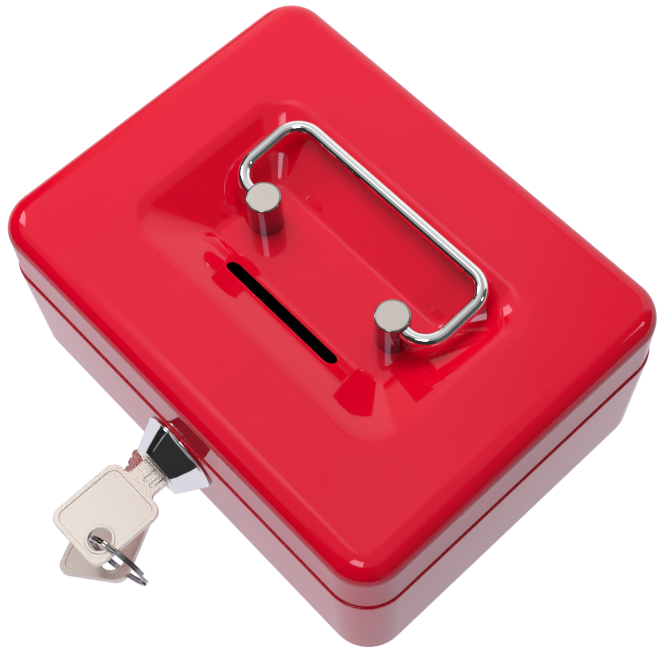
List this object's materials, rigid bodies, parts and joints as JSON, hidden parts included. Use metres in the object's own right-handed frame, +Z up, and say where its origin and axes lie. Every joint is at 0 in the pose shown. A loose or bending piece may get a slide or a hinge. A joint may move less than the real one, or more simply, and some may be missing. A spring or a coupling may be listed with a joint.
{
  "type": "cash box",
  "caption": "Small pressed-steel cash box with a hinged lid, coin slot in a dished recess, folding wire handle, cam lock with keys, and a coin tray.",
  "frame": {"origin": "middle of the flat underside of the base, on the surface it stands on", "axes": "+X to the right along the front, +Y to the back where the hinges are, +Z up"},
  "size_m": [0.153, 0.1662, 0.069],
  "materials": {
    "red_enamel": "high-gloss red stoving enamel on pressed steel",
    "chrome_plate": "bright chrome plate; post tops turned to a satin face",
    "nickel_plate": "soft bright nickel plate, tumbled; on the keys, the split ring and the lock plug",
    "zinc_plate": "bright zinc plate on steel",
    "bare_brass": "machined brass, unplated; lock nut and wafers",
    "tray_plastic": "fine-grained moulded plastic"
  },
  "bodies": {
    "base": {"base_shell": "red_enamel", "tray_rests": "red_enamel", "hinge_left_base_leaf": "zinc_plate", "hinge_right_base_leaf": "zinc_plate", "hinge_left_pin": "zinc_plate", "hinge_right_pin": "zinc_plate", "base_rivets": "zinc_plate", "lock_body": "chrome_plate", "lock_nut": "bare_brass"},
    "lid": {"lid_shell": "red_enamel", "hinge_left_lid_leaf": "zinc_plate", "hinge_right_lid_leaf": "zinc_plate", "lid_rivets": "zinc_plate", "post_left": "chrome_plate", "post_right": "chrome_plate", "post_washers": "zinc_plate", "post_screws": "zinc_plate", "lid_strike": "zinc_plate"},
    "handle": {"handle": "chrome_plate"},
    "plug": {"lock_plug": "nickel_plate", "lock_wafers": "bare_brass", "lock_cam": "zinc_plate", "cam_screw": "zinc_plate"},
    "key": {"key_in_lock": "nickel_plate"},
    "ring": {"key_ring": "nickel_plate"},
    "spare": {"spare_key": "nickel_plate"},
    "tray": {"coin_tray": "tray_plastic"}
  },
  "joints": [
    {"name": "lid_open", "type": "hinge", "parent": "base", "child": "lid", "pos_m": [0, 0.0607, 0.0448], "axis": [-1, 0, 0], "range_deg": [0, 105]},
    {"name": "handle_swing", "type": "hinge", "parent": "lid", "child": "handle", "pos_m": [0, 0.0011, 0.0646], "axis": [1, 0, 0], "range_deg": [0, 170]},
    {"name": "lock_turn", "type": "hinge", "parent": "base", "child": "plug", "pos_m": [0.001, -0.05796, 0.0295], "axis": [0, 1, 0], "range_deg": [0, 90]},
    {"name": "key_slide", "type": "slide", "parent": "plug", "child": "key", "axis": [0, -1, 0], "range_m": [0, 0.02]},
    {"name": "ring_hang", "type": "hinge", "parent": "key", "child": "ring", "pos_m": [0.00983, -0.09021, 0.0295], "axis": [0, -1, 0], "range_deg": [0, 90]},
    {"name": "spare_tilt", "type": "hinge", "parent": "ring", "child": "spare", "pos_m": [0.0105, -0.09021, 0.01155], "axis": [0.8241, 0.5664, 0], "range_deg": [0, 12.6]},
    {"name": "tray_lift", "type": "slide", "parent": "base", "child": "tray", "axis": [0, 0, 1], "range_m": [0, 0.005]}
  ],
  "couplings": [
    {"joint": "ring_hang", "follows": "lock_turn", "ratio": 1},
    {"joint": "spare_tilt", "follows": "lock_turn", "ratio": 0.14}
  ]
}
